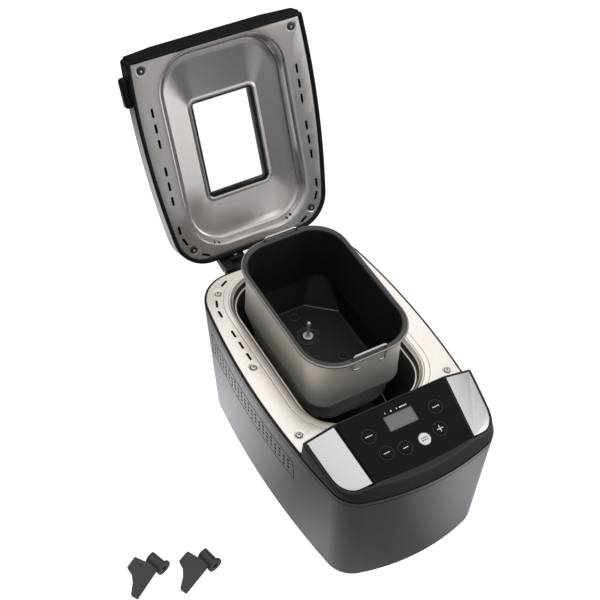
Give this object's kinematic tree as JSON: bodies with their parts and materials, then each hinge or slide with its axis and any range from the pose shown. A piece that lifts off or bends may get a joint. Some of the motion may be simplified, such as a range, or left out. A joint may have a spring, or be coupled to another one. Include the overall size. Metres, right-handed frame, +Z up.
{
  "type": "bread machine",
  "caption": "Bread machine with a bowed casing, sloping control panel, hinged lid with window, lift-out bread pan, belt-driven kneading spindle and loose paddles.",
  "frame": {"origin": "where the axis of the kneading drive meets the worktop under the feet", "axes": "+X to the machine's right seen from the front, +Y to the back, +Z up along the drive axis"},
  "size_m": [0.42, 0.5242, 0.3955],
  "materials": {
    "casing_paint": "satin",
    "deck_steel": "satin",
    "lid_steel": "satin",
    "tub_steel": "satin",
    "black_plastic": "matte",
    "gloss_black": "gloss",
    "silver_plate": "satin",
    "pan_metal": "satin",
    "nonstick": "satin",
    "bright_steel": "polished",
    "plain_steel": "satin",
    "rubber": "matte",
    "belt_rubber": "matte",
    "glass": "gloss",
    "screen": "gloss",
    "board": "satin",
    "ceramic": "matte",
    "bronze": "satin",
    "white_button": "gloss",
    "grey_plastic": "satin"
  },
  "bodies": {
    "machine": {"base_plate": "plain_steel", "rubber_feet": "rubber", "outer_casing": "casing_paint", "vent_grilles": "casing_paint", "mains_gland": "black_plastic", "top_frame": "black_plastic", "top_deck": "deck_steel", "deck_screws": "plain_steel", "baking_chamber": "tub_steel", "chamber_legs": "plain_steel", "pan_seat_ring": "tub_steel", "pan_clips": "bright_steel", "heating_element": "plain_steel", "element_clips": "plain_steel", "element_terminals": "ceramic", "temperature_sensor": "plain_steel", "bearing_housing": "plain_steel", "drive_bushes": "bronze", "drive_belt": "belt_rubber", "motor_body": "plain_steel", "motor_bracket": "plain_steel", "power_board": "board", "control_bezel": "black_plastic", "panel_fascia": "gloss_black", "side_plates": "silver_plate", "lcd_window": "screen", "lcd_module": "grey_plastic", "control_board": "board", "hinge_brackets": "grey_plastic", "hinge_pins": "bright_steel"},
    "drive": {"drive_shaft": "bright_steel", "large_pulley": "grey_plastic", "drive_dog": "plain_steel"},
    "motor_rotor": {"motor_shaft": "bright_steel", "motor_pulley": "grey_plastic"},
    "lid": {"lid_shell": "casing_paint", "lid_panel": "lid_steel", "lid_gasket": "rubber", "lid_front_trim": "black_plastic", "lid_screws": "plain_steel", "lid_handle": "black_plastic", "lid_window": "glass", "window_frame": "black_plastic", "lid_hinge_blocks": "black_plastic"},
    "pan": {"bread_pan": "pan_metal", "pan_foot": "pan_metal", "pan_rivets": "plain_steel", "pan_bearing": "bright_steel"},
    "spindle": {"pan_spindle": "bright_steel", "pan_coupling": "plain_steel"},
    "front_handle": {"pan_handle_front": "bright_steel"},
    "rear_handle": {"pan_handle_rear": "bright_steel"},
    "left_paddle": {"paddle_left": "nonstick"},
    "right_paddle": {"paddle_right": "nonstick"},
    "menu_button_cap": {"menu_button": "gloss_black"},
    "minus_button_cap": {"minus_button": "gloss_black"},
    "loaf_button_cap": {"loaf_button": "gloss_black"},
    "start_button_cap": {"start_button": "white_button"},
    "plus_button_cap": {"plus_button": "gloss_black"},
    "colour_button_cap": {"colour_button": "gloss_black"}
  },
  "joints": [
    {"name": "lid_hinge", "type": "hinge", "parent": "machine", "child": "lid", "pos_m": [0, 0.1111, 0.1471], "axis": [1, 0, 0], "range_deg": [0, 114.5]},
    {"name": "pan_lift", "type": "slide", "parent": "machine", "child": "pan", "axis": [0, 0, 1], "range_m": [-0.0701, 0]},
    {"name": "front_handle_slide", "type": "slide", "parent": "pan", "child": "front_handle", "axis": [0, 0, -1], "range_m": [-0.009, 0]},
    {"name": "rear_handle_slide", "type": "slide", "parent": "pan", "child": "rear_handle", "axis": [0, 0, -1], "range_m": [-0.009, 0]},
    {"name": "drive_spin", "type": "hinge", "parent": "machine", "child": "drive", "pos_m": [0, 0, 0.02], "axis": [0, 0, 1], "continuous": true},
    {"name": "motor_spin", "type": "hinge", "parent": "machine", "child": "motor_rotor", "pos_m": [0, -0.203, 0.02], "axis": [0, 0, 1], "continuous": true},
    {"name": "pan_spin", "type": "hinge", "parent": "pan", "child": "spindle", "pos_m": [0, 0, 0.12], "axis": [0, 0, 1], "continuous": true},
    {"name": "menu_button_press", "type": "slide", "parent": "machine", "child": "menu_button_cap", "axis": [0, 0.2527, -0.9675], "range_m": [0, 0.0008], "stiffness_N_per_m": 400},
    {"name": "minus_button_press", "type": "slide", "parent": "machine", "child": "minus_button_cap", "axis": [0, 0.2527, -0.9675], "range_m": [0, 0.0008], "stiffness_N_per_m": 400},
    {"name": "loaf_button_press", "type": "slide", "parent": "machine", "child": "loaf_button_cap", "axis": [0, 0.2527, -0.9675], "range_m": [0, 0.0008], "stiffness_N_per_m": 400},
    {"name": "start_button_press", "type": "slide", "parent": "machine", "child": "start_button_cap", "axis": [0, 0.2527, -0.9675], "range_m": [0, 0.0008], "stiffness_N_per_m": 400},
    {"name": "plus_button_press", "type": "slide", "parent": "machine", "child": "plus_button_cap", "axis": [0, 0.2527, -0.9675], "range_m": [0, 0.0008], "stiffness_N_per_m": 400},
    {"name": "colour_button_press", "type": "slide", "parent": "machine", "child": "colour_button_cap", "axis": [0, 0.2527, -0.9675], "range_m": [0, 0.0008], "stiffness_N_per_m": 400},
    {"name": "left_paddle_lift", "type": "slide", "parent": "machine", "child": "left_paddle", "axis": [0, 0, 1], "range_m": [0, 0.06]},
    {"name": "right_paddle_lift", "type": "slide", "parent": "machine", "child": "right_paddle", "axis": [0, 0, 1], "range_m": [0, 0.06]}
  ],
  "couplings": [
    {"joint": "pan_lift", "follows": "lid_hinge", "m_per_rad": -0.035028},
    {"joint": "motor_spin", "follows": "drive_spin", "ratio": 4.4706},
    {"joint": "pan_spin", "follows": "drive_spin", "ratio": 1}
  ]
}
